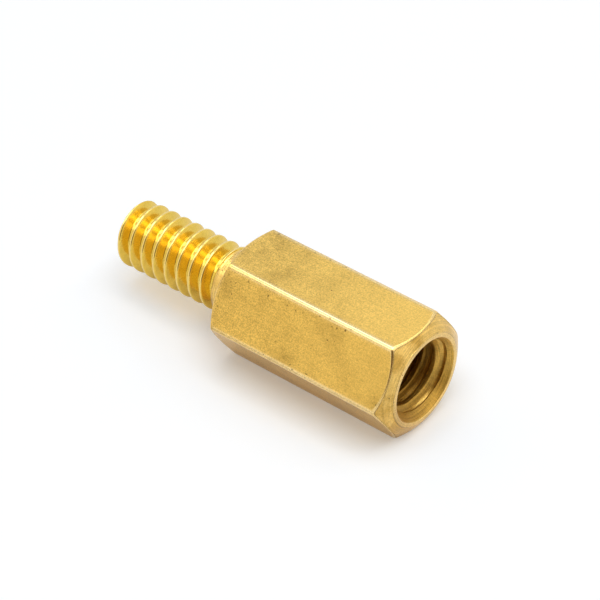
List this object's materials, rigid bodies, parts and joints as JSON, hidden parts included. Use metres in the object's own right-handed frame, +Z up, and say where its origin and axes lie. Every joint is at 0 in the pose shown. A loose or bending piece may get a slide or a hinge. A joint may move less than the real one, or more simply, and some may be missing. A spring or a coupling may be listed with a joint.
{
  "type": "hex standoff",
  "caption": "Male-female hex standoff turned from brass bar, with a threaded stud at one end and a countersunk tapped hole at the other.",
  "frame": {"origin": "On the axis, in the plane of the shoulder that the stud leaves.", "axes": "+X runs along the axis to the tapped end and -X to the stud's tip. +Z is up: the part lies on one flat of its hex, which faces -Z."},
  "size_m": [0.0151, 0.0054, 0.0048],
  "materials": {
    "brass": "satin, as turned and drawn"
  },
  "bodies": {
    "root": {"standoff": "brass"}
  },
  "joints": []
}
